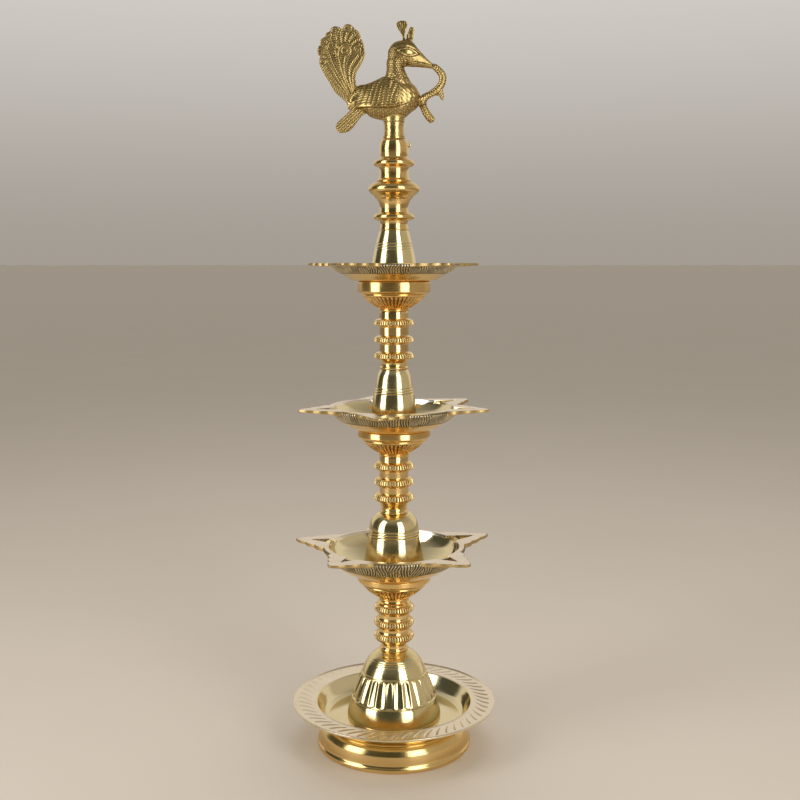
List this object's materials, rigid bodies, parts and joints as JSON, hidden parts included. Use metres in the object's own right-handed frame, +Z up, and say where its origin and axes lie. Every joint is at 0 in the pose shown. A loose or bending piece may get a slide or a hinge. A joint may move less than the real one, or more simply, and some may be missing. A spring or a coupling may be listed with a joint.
{
  "type": "standing oil lamp",
  "caption": "Tall brass standing oil lamp: spool foot with a drip dish, tiered five-beaked oil dishes on screwed turned stems, and a peacock finial.",
  "frame": {"origin": "centre of the foot, on the surface that the lamp stands on", "axes": "+Z up along the stem's axis, +X towards the peacock's beak, -Y towards the viewer of its left-hand side view"},
  "size_m": [0.2546, 0.2546, 0.914],
  "materials": {
    "polished_brass": "polished, with turning marks",
    "pale_brass": "polished, paler castings",
    "rim_brass": "flat-ground top and chip-carved band",
    "antiqued_brass": "darkened in the recesses, rubbed on the high points",
    "plain_brass": "machined, dull"
  },
  "bodies": {
    "base": {"foot_ring": "polished_brass", "base_dish": "rim_brass", "base_washer": "plain_brass", "base_nut": "plain_brass"},
    "lower_thread": {"lower_stud": "plain_brass"},
    "lower_section": {"lower_bell": "pale_brass", "lower_stem": "polished_brass", "lower_cup": "polished_brass"},
    "lower_dish": {"lower_dish": "rim_brass"},
    "middle_thread": {"middle_stud": "plain_brass"},
    "middle_section": {"middle_bell": "pale_brass", "middle_stem": "polished_brass", "middle_cup": "polished_brass"},
    "middle_dish": {"middle_dish": "rim_brass"},
    "upper_thread": {"upper_stud": "plain_brass"},
    "upper_section": {"upper_bell": "pale_brass", "upper_stem": "polished_brass", "upper_cup": "polished_brass"},
    "upper_dish": {"upper_dish": "rim_brass"},
    "top_thread": {"top_stud": "plain_brass"},
    "top_section": {"top_bell": "pale_brass", "finial_column": "polished_brass"},
    "retaining_pin": {"retaining_pin": "polished_brass"},
    "peacock": {"peacock_peg": "plain_brass", "peacock": "antiqued_brass"}
  },
  "joints": [
    {"name": "lower_lift", "type": "slide", "parent": "base", "child": "lower_thread", "axis": [0, 0, 1], "range_m": [0, 0.0125]},
    {"name": "lower_screw", "type": "hinge", "parent": "lower_thread", "child": "lower_section", "pos_m": [0, 0, 0.034], "axis": [0, 0, 1], "range_deg": [0, 1800]},
    {"name": "lower_dish_turn", "type": "hinge", "parent": "lower_section", "child": "lower_dish", "pos_m": [0, 0, 0.212], "axis": [0, 0, 1], "continuous": true},
    {"name": "middle_lift", "type": "slide", "parent": "lower_section", "child": "middle_thread", "axis": [0, 0, 1], "range_m": [0, 0.0125]},
    {"name": "middle_screw", "type": "hinge", "parent": "middle_thread", "child": "middle_section", "pos_m": [0, 0, 0.2145], "axis": [0, 0, 1], "range_deg": [0, 1800]},
    {"name": "middle_dish_turn", "type": "hinge", "parent": "middle_section", "child": "middle_dish", "pos_m": [0, 0, 0.395], "axis": [0, 0, 1], "continuous": true},
    {"name": "upper_lift", "type": "slide", "parent": "middle_section", "child": "upper_thread", "axis": [0, 0, 1], "range_m": [0, 0.0125]},
    {"name": "upper_screw", "type": "hinge", "parent": "upper_thread", "child": "upper_section", "pos_m": [0, 0, 0.3975], "axis": [0, 0, 1], "range_deg": [0, 1800]},
    {"name": "upper_dish_turn", "type": "hinge", "parent": "upper_section", "child": "upper_dish", "pos_m": [0, 0, 0.583], "axis": [0, 0, 1], "continuous": true},
    {"name": "top_lift", "type": "slide", "parent": "upper_section", "child": "top_thread", "axis": [0, 0, 1], "range_m": [0, 0.0125]},
    {"name": "top_screw", "type": "hinge", "parent": "top_thread", "child": "top_section", "pos_m": [0, 0, 0.5855], "axis": [0, 0, 1], "range_deg": [0, 1800]},
    {"name": "pin_pull", "type": "slide", "parent": "top_section", "child": "retaining_pin", "axis": [1, 0, 0], "range_m": [0, 0.016]},
    {"name": "peacock_turn", "type": "hinge", "parent": "top_section", "child": "peacock", "pos_m": [0, 0, 0.763], "axis": [0, 0, 1], "continuous": true}
  ],
  "couplings": [
    {"joint": "lower_lift", "follows": "lower_screw", "m_per_rad": 0.00039789},
    {"joint": "middle_lift", "follows": "middle_screw", "m_per_rad": 0.00039789},
    {"joint": "upper_lift", "follows": "upper_screw", "m_per_rad": 0.00039789},
    {"joint": "top_lift", "follows": "top_screw", "m_per_rad": 0.00039789}
  ]
}
